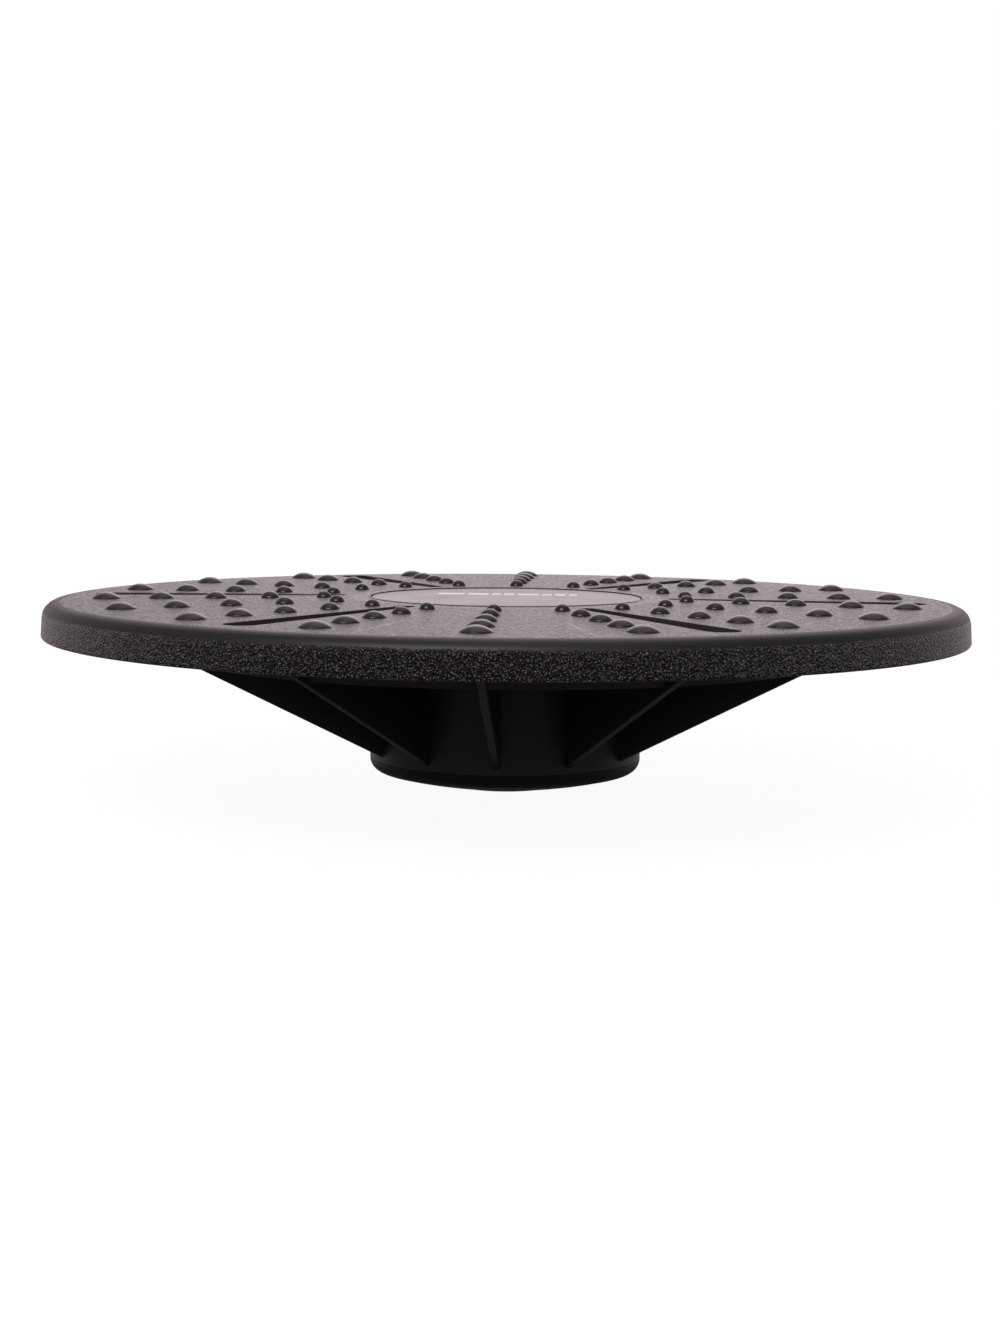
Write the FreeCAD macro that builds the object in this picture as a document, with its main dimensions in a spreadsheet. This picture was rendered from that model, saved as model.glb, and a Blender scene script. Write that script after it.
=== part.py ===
"""Wobble board: a round moulded deck on a hub with twelve ribs, standing on a shallow domed rocker.

Frame: millimetres, +Z up, origin on the floor at the centre of the foot. A row of knobs points along -Y.
Heights of the deck and the underframe are worked out downwards from the deck's top face.
"""

import FreeCAD
import Part
import math
import os
import Sketcher

DIMENSIONS = {
    # deck
    "deck_top": 84.0,
    "deck_radius": 200.0,
    "deck_thickness": 4.0,
    "crown_rise": 0.46,
    "crown_fall": 0.96,
    "rim_depth": 15.4,
    "rim_wall": 3.6,
    "rim_flare_top": 0.4,
    "rim_flare_foot": 1.3,
    "edge_round": 6.5,
    "rim_foot_round": 2.0,
    "rim_lip_round": 1.0,
    "inner_round": 2.0,
    "plinth_depth": 6.0,
    "mouth_radius": 46.0,
    # tapered grooves in the deck's top
    "groove_count": 6,
    "groove_inner_end": 71.0,
    "groove_outer_end": 184.0,
    "groove_inner_width": 7.0,
    "groove_outer_width": 14.0,
    "groove_depth": 2.6,
    # knobs
    "knob_row_count": 18,
    "knob_first_radius": 80.4,
    "knob_pitch": 23.45,
    "knob_height": 2.7,
    "knob_first_diameter": 6.5,
    "knob_growth": 1.5,
    "knob_root_depth": 1.2,
    "knob_brim": 0.7,
    # centre cap and its label
    "cap_seat_radius": 60.0,
    "cap_seat_depth": 2.6,
    "seat_lip_height": 0.8,
    "seat_lip_crest": 0.95,
    "seat_lip_width": 1.4,
    "cap_gap": 0.4,
    "cap_rise": 0.05,
    "cap_edge_round": 0.6,
    "skirt_wall": 2.0,
    "skirt_depth": 10.6,
    "snap_depth": 1.2,
    "snap_height": 1.8,
    "snap_width": 9.0,
    "snap_count": 3,
    "label_margin": 0.4,
    "label_thickness": 0.25,
    # hub
    "hub_radius": 60.0,
    "hub_wall": 4.0,
    "hub_seam_drop": 70.5,
    "flange_thickness": 4.0,
    "floor_drop": 64.5,
    "floor_thickness": 3.5,
    "seam_chamfer": 0.2,
    # ribs and ring wall
    "rib_count": 12,
    "rib_thickness": 3.2,
    "rib_foot_drop": 67.6,
    "rib_reach": 178.0,
    "rib_tip_height": 3.5,
    "rib_edge_round": 0.5,
    "ring_radius": 140.0,
    "ring_thickness": 3.0,
    "ring_drop": 24.8,
    # rocker
    "dome_radius": 220.0,
    "pad_proud": 0.5,
    "rocker_wall": 3.5,
    "corner_round": 6.0,
    "spigot_gap": 0.2,
    "spigot_wall": 2.5,
    "spigot_height": 5.6,
    "rocker_boss_radius": 6.6,
    "rocker_boss_foot": 5.5,
    # grip pad
    "pad_radius": 24.0,
    "pad_thickness": 2.6,
    "pad_flat_radius": 12.0,
    "pad_edge_rise": 1.2,
    "pad_gap": 0.2,
    "pad_groove_first": 14.5,
    "pad_groove_pitch": 3.0,
    "pad_groove_width": 1.1,
    "pad_groove_depth": 0.9,
    "pad_groove_count": 3,
    # screws
    "hub_screw_count": 6,
    "hub_screw_circle": 51.5,
    "hub_screw_length": 15.0,
    "hub_boss_radius": 5.0,
    "hub_boss_depth": 13.0,
    "rocker_screw_count": 4,
    "rocker_screw_circle": 36.0,
    "rocker_screw_length": 19.0,
    "rocker_screw_seat": 9.0,
    "floor_boss_radius": 4.5,
    "floor_boss_height": 10.0,
    "screw_radius": 1.7,
    "screw_gap": 0.05,
    "screw_clearance": 0.5,
    "screw_head_radius": 3.6,
    "screw_head_height": 1.9,
    "pan_head_radius": 4.0,
    "pan_head_height": 2.6,
    "pan_head_round": 0.8,
    "counterbore_gap": 0.6,
    "cross_length": 4.0,
    "cross_width": 0.9,
    "cross_depth": 1.2,
}

KNOB_SIZES = 5


class Size:
    """A length that carries its number and the formula that gives it from the sheet's cells."""

    def __init__(self, value, formula):
        self.value = float(value)
        self.formula = formula

    def _joined(self, other, sign, value):
        other = as_size(other)
        return Size(value(self.value, other.value), f"({self.formula} {sign} {other.formula})")

    def __add__(self, other):
        return self._joined(other, "+", lambda a, b: a + b)

    def __sub__(self, other):
        return self._joined(other, "-", lambda a, b: a - b)

    def __mul__(self, other):
        return self._joined(other, "*", lambda a, b: a * b)

    def __truediv__(self, other):
        return self._joined(other, "/", lambda a, b: a / b)

    def __neg__(self):
        return Size(-self.value, f"(-{self.formula})")


def as_size(number):
    return number if isinstance(number, Size) else Size(number, f"{number}")


def root(size):
    return Size(math.sqrt(size.value), f"sqrt({size.formula})")


def height_on_sphere(centre_height, sphere_radius, radius):
    """Height of a sphere's lower surface at a distance from the vertical axis."""
    return centre_height - root(sphere_radius * sphere_radius - radius * radius)


def make_sheet(doc):
    sheet = doc.addObject("Spreadsheet::Sheet", "dims")
    for row, (name, value) in enumerate(DIMENSIONS.items(), start=1):
        sheet.set(f"A{row}", name)
        sheet.set(f"B{row}", str(value))
        sheet.setAlias(f"B{row}", name)
    doc.recompute()
    return {name: Size(value, f"dims.{name}") for name, value in DIMENSIONS.items()}


doc = FreeCAD.newDocument("wobble_board")
dim = make_sheet(doc)
parts = []

# Heights and radii that several pieces share.
top = dim["deck_top"]
underside = top - dim["deck_thickness"]
hub_top = top - dim["plinth_depth"]
seat_floor = top - dim["cap_seat_depth"]
seam = top - dim["hub_seam_drop"]
floor_bottom = top - dim["floor_drop"]
floor_top = floor_bottom + dim["floor_thickness"]
hub_bore = dim["hub_radius"] - dim["hub_wall"]
pilot_radius = dim["screw_radius"] + dim["screw_gap"]
dome_centre = dim["pad_proud"] + dim["dome_radius"]


# ---------------------------------------------------------------- building blocks


def new_body(name):
    """A part body that is kept as its own file."""
    body = doc.addObject("PartDesign::Body", name)
    body.Label = name
    body.AllowCompound = True
    parts.append(body)
    return body


def origin_feature(body, role):
    return next(f for f in body.Origin.OriginFeatures if f.Role == role)


def new_sketch(body, name, plane, height=None):
    """A sketch on one of the body's own planes, raised along the plane's normal by height."""
    sketch = body.newObject("Sketcher::SketchObject", name)
    sketch.AttachmentSupport = [(origin_feature(body, plane), "")]
    sketch.MapMode = "FlatFace"
    if height is not None:
        sketch.setExpression(".AttachmentOffset.Base.z", height.formula)
    return sketch


def pin_point(sketch, geometry, point, x, y):
    """Ties a sketch point to the origin by two sizes."""
    for kind, size, axis in (("DistanceX", x, -2), ("DistanceY", y, -1)):
        if size.formula in ("0", "0.0"):
            sketch.addConstraint(Sketcher.Constraint("PointOnObject", geometry, point, axis))
            continue
        label = f"{kind}_{geometry}_{point}"
        index = sketch.addConstraint(Sketcher.Constraint(kind, -1, 1, geometry, point, size.value))
        sketch.renameConstraint(index, label)
        sketch.setExpression(f"Constraints.{label}", size.formula)


def arc_between(start, end, radius, left):
    """The short arc of a radius from start to end, with its centre on the left or the right of the way."""
    chord = end - start
    middle = (start + end) * 0.5
    across = FreeCAD.Vector(-chord.y, chord.x, 0) * (1 / chord.Length)
    if not left:
        across = -across
    centre = middle + across * math.sqrt(radius**2 - chord.Length**2 / 4)
    mid_point = centre + (middle - centre).normalize() * radius
    return Part.Arc(start, mid_point, end), centre


def draw_outline(sketch, corners):
    """A closed outline. Each corner is (x, y), or (x, y, radius, side) where an arc leaves it.

    The side, "left" or "right", is where the arc's centre lies."""
    corners = [tuple(as_size(v) if not isinstance(v, str) else v for v in c) for c in corners]
    points = [FreeCAD.Vector(c[0].value, c[1].value, 0) for c in corners]
    starts = []
    for i, corner in enumerate(corners):
        start, end = points[i], points[(i + 1) % len(points)]
        if len(corner) == 2:
            geometry = sketch.addGeometry(Part.LineSegment(start, end), False)
            starts.append((geometry, 1, 2))
            continue
        arc, centre = arc_between(start, end, corner[2].value, corner[3] == "left")
        geometry = sketch.addGeometry(arc, False)
        turns_left = (start - centre).cross(end - centre).z > 0
        starts.append((geometry, 1, 2) if turns_left else (geometry, 2, 1))
        index = sketch.addConstraint(Sketcher.Constraint("Radius", geometry, corner[2].value))
        sketch.renameConstraint(index, f"Radius_{geometry}")
        sketch.setExpression(f"Constraints.Radius_{geometry}", corner[2].formula)
    for i, (geometry, start, _) in enumerate(starts):
        last, _, last_end = starts[i - 1]
        sketch.addConstraint(Sketcher.Constraint("Coincident", last, last_end, geometry, start))
        pin_point(sketch, geometry, start, corners[i][0], corners[i][1])


def draw_circle(sketch, x, y, radius):
    centre = FreeCAD.Vector(as_size(x).value, as_size(y).value, 0)
    circle = Part.Circle(centre, FreeCAD.Vector(0, 0, 1), radius.value)
    geometry = sketch.addGeometry(circle, False)
    pin_point(sketch, geometry, 3, as_size(x), as_size(y))
    index = sketch.addConstraint(Sketcher.Constraint("Radius", geometry, radius.value))
    sketch.renameConstraint(index, f"Radius_{geometry}")
    sketch.setExpression(f"Constraints.Radius_{geometry}", radius.formula)


def revolve(body, name, corners, plane="XZ_Plane", kind="Revolution", axis_at=None):
    """Turns an outline, radius by height, into a solid or a groove about the vertical axis.

    With axis_at it turns about the vertical line there instead."""
    sketch = new_sketch(body, name + "_outline", plane)
    draw_outline(sketch, corners)
    feature = body.newObject(f"PartDesign::{kind}", name)
    feature.Profile = sketch
    feature.ReferenceAxis = (sketch, ["V_Axis"])
    if axis_at is not None:
        line = Part.LineSegment(FreeCAD.Vector(axis_at.value, 0, 0), FreeCAD.Vector(axis_at.value, 10, 0))
        geometry = sketch.addGeometry(line, True)
        sketch.addConstraint(Sketcher.Constraint("Vertical", geometry))
        pin_point(sketch, geometry, 1, axis_at, as_size(0))
        sketch.addConstraint(Sketcher.Constraint("DistanceY", geometry, 1, geometry, 2, 10))
        feature.ReferenceAxis = (sketch, ["Axis0"])
    feature.Angle = 360
    doc.recompute()
    return feature


def pad(body, name, sketch, length, down=False):
    feature = body.newObject("PartDesign::Pad", name)
    feature.Profile = sketch
    feature.setExpression("Length", length.formula)
    feature.Reversed = down
    doc.recompute()
    return feature


def pocket(body, name, sketch, depth, up=False):
    """Cuts downwards from the sketch, or upwards, and makes sure that something was cut."""
    before = body.Shape.Volume
    feature = body.newObject("PartDesign::Pocket", name)
    feature.Profile = sketch
    feature.setExpression("Length", depth.formula)
    feature.Reversed = up
    doc.recompute()
    if body.Shape.Volume > before - 0.01:
        raise RuntimeError(f"{name} cut nothing")
    return feature


def circle_sketch(body, name, height, x, radius):
    sketch = new_sketch(body, name + "_circle", "XY_Plane", height)
    draw_circle(sketch, x, 0, radius)
    return sketch


def polar(body, name, features, count):
    """Repeats features round the vertical axis."""
    pattern = body.newObject("PartDesign::PolarPattern", name)
    pattern.Originals = features
    pattern.Axis = (origin_feature(body, "Z_Axis"), [""])
    pattern.Angle = 360
    pattern.setExpression("Occurrences", count.formula)
    body.Tip = pattern
    doc.recompute()
    return pattern


def circular_edges(feature, radius, height):
    """Names of the full-circle edges of a radius at a height."""
    names = []
    for number, edge in enumerate(feature.Shape.Edges, start=1):
        if edge.Degenerated:
            continue
        curve = edge.Curve
        if not isinstance(curve, Part.Circle) or edge.Length < 6 * curve.Radius:
            continue
        if abs(curve.Radius - radius.value) < 1e-3 and abs(curve.Center.z - height.value) < 1e-3:
            names.append(f"Edge{number}")
    if not names:
        raise RuntimeError(f"{feature.Name} has no circular edge of radius {radius.value}")
    return names


def dress(body, name, kind, base, edges, size):
    """A fillet or a chamfer on named edges."""
    feature = body.newObject(f"PartDesign::{kind}", name)
    feature.Base = (base, edges)
    feature.setExpression("Radius" if kind == "Fillet" else "Size", size.formula)
    doc.recompute()
    return feature


# ---------------------------------------------------------------- deck


def face_height(radius):
    """Height of the standing face, which falls slightly and evenly from the cap's seat to the rim."""
    share = (radius - dim["cap_seat_radius"]) / (dim["deck_radius"] - dim["cap_seat_radius"])
    return top + dim["crown_rise"] - dim["crown_fall"] * share


def knob_place(step):
    """Distance from the centre and radius of the knobs of one size."""
    distance = dim["knob_first_radius"] + dim["knob_pitch"] * step
    radius = (dim["knob_first_diameter"] + dim["knob_growth"] * step) / 2
    return distance, radius


def make_deck():
    body = new_body("deck")
    rim_bottom = top - dim["rim_depth"]
    rim_top = face_height(dim["deck_radius"])
    rim_inside = dim["deck_radius"] - dim["rim_wall"]
    side_top = dim["deck_radius"] + dim["rim_flare_top"]
    side_foot = dim["deck_radius"] + dim["rim_flare_foot"]
    lip_foot = dim["cap_seat_radius"] + dim["seat_lip_width"]
    plate = revolve(
        body,
        "deck_plate",
        [
            (dim["mouth_radius"], seat_floor),
            (dim["cap_seat_radius"], seat_floor),
            (dim["cap_seat_radius"], top + dim["seat_lip_height"]),
            (dim["cap_seat_radius"] + dim["seat_lip_crest"], top + dim["seat_lip_height"]),
            (lip_foot, face_height(lip_foot)),
            (side_top, rim_top),
            (side_foot, rim_bottom),
            (rim_inside, rim_bottom),
            (rim_inside, underside),
            (dim["hub_radius"], underside),
            (dim["hub_radius"], hub_top),
            (dim["mouth_radius"], hub_top),
        ],
    )
    rounded = plate
    for name, radius, height, size in (
        ("deck_edge", side_top, rim_top, dim["edge_round"]),
        ("rim_foot", side_foot, rim_bottom, dim["rim_foot_round"]),
        ("rim_lip", rim_inside, rim_bottom, dim["rim_lip_round"]),
        ("rim_inside", rim_inside, underside, dim["inner_round"]),
    ):
        rounded = dress(body, name, "Fillet", rounded, circular_edges(rounded, radius, height), size)

    inner_half = dim["groove_inner_width"] / 2
    outer_half = dim["groove_outer_width"] / 2
    inner = dim["groove_inner_end"] + inner_half
    outer = dim["groove_outer_end"] - outer_half
    above = top + 2
    outline = new_sketch(body, "groove_outline", "XY_Plane", above)
    draw_outline(
        outline,
        [
            (inner, -inner_half),
            (outer, -outer_half, outer_half * 1.0001, "left"),
            (outer, outer_half),
            (inner, inner_half, inner_half * 1.0001, "left"),
        ],
    )
    groove = pocket(body, "tapered_groove", outline, dim["groove_depth"] + 2)
    polar(body, "tapered_grooves", [groove], dim["groove_count"])

    for step in range(KNOB_SIZES):
        distance, radius = knob_place(step)
        sketch = new_sketch(body, f"knob_socket_{step + 1}_circle", "XY_Plane", above)
        draw_circle(sketch, 0, distance, radius - dim["knob_brim"])
        socket = pocket(body, f"knob_socket_{step + 1}", sketch, dim["knob_root_depth"] + 2)
        polar(body, f"knob_sockets_{step + 1}", [socket], dim["knob_row_count"])

    clearance = dim["screw_radius"] + dim["screw_clearance"] / 2
    head = dim["screw_head_radius"] + dim["screw_clearance"] / 2
    axis = dim["hub_screw_circle"]
    before = body.Shape.Volume
    hole = revolve(
        body,
        "screw_hole",
        [
            (axis, hub_top - 1),
            (axis + clearance, hub_top - 1),
            (axis + clearance, seat_floor - dim["screw_head_height"]),
            (axis + head, seat_floor),
            (axis + head, seat_floor + 1),
            (axis, seat_floor + 1),
        ],
        kind="Groove",
        axis_at=axis,
    )
    polar(body, "screw_holes", [hole], dim["hub_screw_count"])
    if body.Shape.Volume > before - 1:
        raise RuntimeError("the deck's screw holes cut nothing")


def make_knobs(step):
    """One ring of knobs of one size, each with a root that sits in the deck."""
    body = new_body(f"knobs_size_{step + 1}")
    distance, radius = knob_place(step)
    rise = dim["knob_height"]
    ball = (radius * radius + rise * rise) / (rise * 2)
    stem = radius - dim["knob_brim"]
    foot = face_height(distance - radius)
    knob = revolve(
        body,
        "knob",
        [
            (distance, top - dim["knob_root_depth"]),
            (distance + stem, top - dim["knob_root_depth"]),
            (distance + stem, foot),
            (distance + radius, foot, ball, "left"),
            (distance, foot + rise),
        ],
        plane="YZ_Plane",
        axis_at=distance,
    )
    polar(body, "knob_ring", [knob], dim["knob_row_count"])


# ---------------------------------------------------------------- centre cap and label


def make_centre_cap():
    body = new_body("centre_cap")
    cap_top = top + dim["cap_rise"]
    cap_radius = dim["cap_seat_radius"] - dim["cap_gap"]
    skirt_outer = dim["mouth_radius"] - dim["cap_gap"]
    skirt_inner = skirt_outer - dim["skirt_wall"]
    skirt_bottom = seat_floor - dim["skirt_depth"]
    disc = revolve(
        body,
        "cap_disc",
        [
            (0, cap_top),
            (cap_radius, cap_top),
            (cap_radius, seat_floor),
            (skirt_outer, seat_floor),
            (skirt_outer, skirt_bottom),
            (skirt_inner, skirt_bottom),
            (skirt_inner, seat_floor),
            (0, seat_floor),
        ],
    )
    dress(
        body, "cap_edge", "Fillet", disc, circular_edges(disc, cap_radius, cap_top), dim["cap_edge_round"]
    )
    snap_bottom = skirt_bottom
    sketch = new_sketch(body, "snap_outline", "XZ_Plane")
    draw_outline(
        sketch,
        [
            (skirt_inner + 0.5, snap_bottom),
            (skirt_outer, snap_bottom),
            (skirt_outer + dim["snap_depth"], snap_bottom + dim["snap_height"] - 0.5),
            (skirt_outer + dim["snap_depth"], snap_bottom + dim["snap_height"]),
            (skirt_inner + 0.5, snap_bottom + dim["snap_height"]),
        ],
    )
    snap = pad(body, "snap", sketch, dim["snap_width"])
    snap.Midplane = True
    polar(body, "snaps", [snap], dim["snap_count"])


def make_label():
    body = new_body("label")
    radius = dim["cap_seat_radius"] - dim["cap_gap"] - dim["label_margin"]
    sketch = circle_sketch(body, "label", top + dim["cap_rise"], 0, radius)
    pad(body, "label_disc", sketch, dim["label_thickness"])


# ---------------------------------------------------------------- hub, ribs and ring wall


def make_hub():
    body = new_body("hub")
    flange_bottom = hub_top - dim["flange_thickness"]
    shell = revolve(
        body,
        "hub_shell",
        [
            (0, floor_bottom),
            (hub_bore, floor_bottom),
            (hub_bore, seam),
            (dim["hub_radius"], seam),
            (dim["hub_radius"], hub_top),
            (dim["mouth_radius"], hub_top),
            (dim["mouth_radius"], flange_bottom),
            (hub_bore, flange_bottom),
            (hub_bore, floor_top),
            (0, floor_top),
        ],
    )
    seam_edges = circular_edges(shell, dim["hub_radius"], seam)
    dress(body, "seam_edge", "Chamfer", shell, seam_edges, dim["seam_chamfer"])

    circle = dim["hub_screw_circle"]
    sketch = circle_sketch(body, "flange_boss", flange_bottom, circle, dim["hub_boss_radius"])
    boss = pad(body, "flange_boss", sketch, dim["hub_boss_depth"], down=True)
    polar(body, "flange_bosses", [boss], dim["hub_screw_count"])
    sketch = circle_sketch(body, "flange_pilot", hub_top, circle, pilot_radius)
    pilot = pocket(body, "flange_pilot", sketch, dim["hub_screw_length"] + 1)
    polar(body, "flange_pilots", [pilot], dim["hub_screw_count"])

    circle = dim["rocker_screw_circle"]
    sketch = circle_sketch(body, "floor_boss", floor_top, circle, dim["floor_boss_radius"])
    boss = pad(body, "floor_boss", sketch, dim["floor_boss_height"])
    polar(body, "floor_bosses", [boss], dim["rocker_screw_count"])
    sketch = circle_sketch(body, "floor_pilot", floor_bottom, circle, pilot_radius)
    depth = dim["floor_thickness"] + dim["floor_boss_height"] - 1.5
    pilot = pocket(body, "floor_pilot", sketch, depth, up=True)
    polar(body, "floor_pilots", [pilot], dim["rocker_screw_count"])


def make_rib(number):
    """One radial plate. It stands on the hub's wall and tapers out under the deck."""
    body = new_body(f"rib_{number:02d}")
    sketch = new_sketch(body, "rib_outline", "XZ_Plane")
    draw_outline(
        sketch,
        [
            (dim["hub_radius"], top - dim["rib_foot_drop"]),
            (dim["rib_reach"], underside - dim["rib_tip_height"]),
            (dim["rib_reach"], underside),
            (dim["hub_radius"], underside),
        ],
    )
    plate = pad(body, "rib_plate", sketch, dim["rib_thickness"])
    plate.Midplane = True
    doc.recompute()
    sloping = []
    for index, edge in enumerate(plate.Shape.Edges, start=1):
        start, end = (v.Point for v in edge.Vertexes)
        if abs(start.x - end.x) > 1 and abs(start.z - end.z) > 1:
            sloping.append(f"Edge{index}")
    dress(body, "rib_edge", "Fillet", plate, sloping, dim["rib_edge_round"])
    turn = 360.0 / DIMENSIONS["rib_count"] * (number - 1)
    body.Placement = FreeCAD.Placement(FreeCAD.Vector(), FreeCAD.Rotation(FreeCAD.Vector(0, 0, 1), turn))


def make_ring_wall():
    """A low circular wall under the deck, cut through where each rib passes."""
    body = new_body("ring_wall")
    sketch = new_sketch(body, "ring_circles", "XY_Plane", underside)
    half = dim["ring_thickness"] / 2
    draw_circle(sketch, 0, 0, dim["ring_radius"] - half)
    draw_circle(sketch, 0, 0, dim["ring_radius"] + half)
    pad(body, "ring", sketch, dim["ring_drop"] - dim["deck_thickness"], down=True)
    side = dim["rib_thickness"] / 2
    sketch = new_sketch(body, "slot_outline", "XY_Plane", underside)
    inner = dim["ring_radius"] - dim["ring_thickness"]
    outer = dim["ring_radius"] + dim["ring_thickness"]
    draw_outline(sketch, [(inner, -side), (outer, -side), (outer, side), (inner, side)])
    slot = pocket(body, "slot", sketch, dim["ring_drop"])
    polar(body, "slots", [slot], dim["rib_count"])


# ---------------------------------------------------------------- rocker and grip pad


def make_rocker():
    body = new_body("rocker")
    inner_dome = dim["dome_radius"] - dim["rocker_wall"]
    spigot_outer = hub_bore - dim["spigot_gap"]
    spigot_inner = spigot_outer - dim["spigot_wall"]
    outer_corner = height_on_sphere(dome_centre, dim["dome_radius"], dim["hub_radius"])
    inner_corner = height_on_sphere(dome_centre, inner_dome, spigot_inner)
    shell = revolve(
        body,
        "rocker_shell",
        [
            (0, dim["pad_proud"], dim["dome_radius"], "left"),
            (dim["hub_radius"], outer_corner),
            (dim["hub_radius"], seam),
            (spigot_outer, seam),
            (spigot_outer, seam + dim["spigot_height"]),
            (spigot_inner, seam + dim["spigot_height"]),
            (spigot_inner, inner_corner, inner_dome, "right"),
            (0, dim["pad_proud"] + dim["rocker_wall"]),
        ],
    )
    corner = dress(
        body,
        "rocker_corner",
        "Fillet",
        shell,
        circular_edges(shell, dim["hub_radius"], outer_corner),
        dim["corner_round"],
    )
    seam_edges = circular_edges(corner, dim["hub_radius"], seam)
    dress(body, "seam_edge", "Chamfer", corner, seam_edges, dim["seam_chamfer"] * 0.4)

    circle = dim["rocker_screw_circle"]
    sketch = circle_sketch(body, "screw_boss", floor_bottom, circle, dim["rocker_boss_radius"])
    boss = pad(body, "screw_boss", sketch, floor_bottom - dim["rocker_boss_foot"], down=True)
    polar(body, "screw_bosses", [boss], dim["rocker_screw_count"])
    clearance = dim["screw_radius"] + dim["screw_clearance"] / 2
    sketch = circle_sketch(body, "screw_way", as_size(0), circle, clearance)
    way = pocket(body, "screw_way", sketch, floor_bottom + 1, up=True)
    polar(body, "screw_ways", [way], dim["rocker_screw_count"])
    bore_radius = dim["pan_head_radius"] + dim["counterbore_gap"]
    sketch = circle_sketch(body, "counterbore", as_size(0), circle, bore_radius)
    bore = pocket(body, "counterbore", sketch, dim["rocker_screw_seat"], up=True)
    polar(body, "counterbores", [bore], dim["rocker_screw_count"])

    sketch = circle_sketch(body, "pad_recess", as_size(0), 0, dim["pad_radius"] + dim["pad_gap"])
    pocket(body, "pad_recess", sketch, dim["pad_thickness"], up=True)


def make_grip_pad():
    """The rubber foot, flat in the middle so that the board stands level, with three grip rings."""
    body = new_body("grip_pad")
    revolve(
        body,
        "pad_disc",
        [
            (0, 0),
            (dim["pad_flat_radius"], 0),
            (dim["pad_radius"], dim["pad_edge_rise"]),
            (dim["pad_radius"], dim["pad_thickness"]),
            (0, dim["pad_thickness"]),
        ],
    )
    for number in range(DIMENSIONS["pad_groove_count"]):
        start = dim["pad_groove_first"] + dim["pad_groove_pitch"] * number
        before = body.Shape.Volume
        slope = dim["pad_edge_rise"] / (dim["pad_radius"] - dim["pad_flat_radius"])
        height = (start - dim["pad_flat_radius"]) * slope + dim["pad_groove_depth"]
        revolve(
            body,
            f"grip_ring_{number + 1}",
            [
                (start, -1),
                (start + dim["pad_groove_width"], -1),
                (start + dim["pad_groove_width"], height),
                (start, height),
            ],
            kind="Groove",
        )
        if body.Shape.Volume > before - 1:
            raise RuntimeError("a grip ring cut nothing")


# ---------------------------------------------------------------- screws


def cut_cross(body, height, circle, up):
    """The cross recess of a screw head, cut down from a height, or up."""
    along = dim["cross_length"] / 2
    side = dim["cross_width"] / 2
    slots = []
    for name, length, width in (("cross_a", along, side), ("cross_b", side, along)):
        sketch = new_sketch(body, name + "_outline", "XY_Plane", height)
        draw_outline(
            sketch,
            [
                (circle - length, -width),
                (circle + length, -width),
                (circle + length, width),
                (circle - length, width),
            ],
        )
        slots.append(pocket(body, name, sketch, dim["cross_depth"], up=up))
    return slots


def make_hub_screws():
    """Countersunk screws that hold the deck down on the hub's flange, under the centre cap."""
    body = new_body("hub_screws")
    axis = dim["hub_screw_circle"]
    neck = seat_floor - dim["screw_head_height"]
    screw = revolve(
        body,
        "screw",
        [
            (axis, seat_floor),
            (axis + dim["screw_head_radius"], seat_floor),
            (axis + dim["screw_radius"], neck),
            (axis + dim["screw_radius"], seat_floor - dim["hub_screw_length"]),
            (axis, seat_floor - dim["hub_screw_length"] - dim["screw_radius"]),
        ],
        axis_at=axis,
    )
    slots = cut_cross(body, seat_floor, axis, up=False)
    polar(body, "screw_ring", [screw, *slots], dim["hub_screw_count"])


def make_rocker_screws():
    """Pan-head screws that hold the rocker up against the hub's floor, set in counterbores."""
    body = new_body("rocker_screws")
    axis = dim["rocker_screw_circle"]
    seat = dim["rocker_screw_seat"]
    head_bottom = seat - dim["pan_head_height"]
    screw = revolve(
        body,
        "screw",
        [
            (axis, head_bottom),
            (axis + dim["pan_head_radius"] - dim["pan_head_round"], head_bottom),
            (axis + dim["pan_head_radius"], head_bottom + dim["pan_head_round"]),
            (axis + dim["pan_head_radius"], seat),
            (axis + dim["screw_radius"], seat),
            (axis + dim["screw_radius"], seat + dim["rocker_screw_length"]),
            (axis, seat + dim["rocker_screw_length"] + dim["screw_radius"]),
        ],
        axis_at=axis,
    )
    slots = cut_cross(body, head_bottom, axis, up=True)
    polar(body, "screw_ring", [screw, *slots], dim["rocker_screw_count"])


# ---------------------------------------------------------------- build, check and write


def check_document():
    for item in doc.Objects:
        if {"Invalid", "Error"} & set(item.State):
            raise RuntimeError(f"{item.Name} failed: {item.State}")
    for body in parts:
        if body.Shape.isNull() or not body.Shape.isValid():
            raise RuntimeError(f"{body.Label} has no valid shape")


def write_parts():
    os.makedirs("parts", exist_ok=True)
    for body in parts:
        body.Shape.exportStep(f"parts/{body.Label}.step")
        print(f"{body.Label}: {len(body.Shape.Solids)} solids, {body.Shape.Volume / 1000:.2f} cm3")


make_deck()
for size_step in range(KNOB_SIZES):
    make_knobs(size_step)
make_centre_cap()
make_label()
make_hub()
for rib_number in range(1, DIMENSIONS["rib_count"] + 1):
    make_rib(rib_number)
make_ring_wall()
make_rocker()
make_grip_pad()
make_hub_screws()
make_rocker_screws()
doc.recompute()
check_document()
write_parts()
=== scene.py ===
"""Looks of the wobble board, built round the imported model. Metres, +Z up, a row of knobs points along -Y."""

from math import atan2, cos, hypot, pi, radians, sin, tau

import bpy
from mathutils import Matrix, Vector
from mathutils.geometry import delaunay_2d_cdt


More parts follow.
